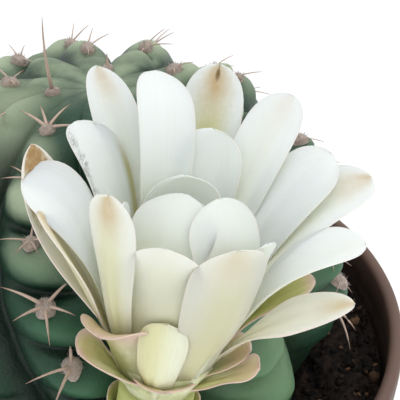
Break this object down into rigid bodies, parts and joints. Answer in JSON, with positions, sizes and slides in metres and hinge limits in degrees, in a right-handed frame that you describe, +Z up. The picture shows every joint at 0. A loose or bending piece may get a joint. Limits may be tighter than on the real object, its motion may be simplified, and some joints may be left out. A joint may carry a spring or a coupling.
{
  "type": "potted flowering cactus",
  "caption": "Chin cactus in a round plastic pot, with one open white flower on a scaly tube, woolly areoles and short curved spines.",
  "frame": {"origin": "middle of the pot's flat underside, on the floor", "axes": "+Z up along the pot's axis; -Y towards the side that the flower stands on"},
  "size_m": [0.1226, 0.1252, 0.1718],
  "materials": {
    "pot": "matte terracotta-brown plastic",
    "mix": "loose dark peat with bits of bark",
    "skin": "blue-green waxy skin, paler on the ribs, with felted areoles and horn-coloured spines",
    "tube": "yellow-green, with pink-edged scales",
    "petal": "white and satiny, with pink-brown tips outside",
    "stamen": "powdery yellow",
    "style": "cream and satiny"
  },
  "bodies": {
    "root": {"pot": "pot", "potting_mix": "mix", "cactus_body": "skin", "flower_tube": "tube", "perianth": "petal", "stamens": "stamen", "pistil": "style"}
  },
  "joints": []
}
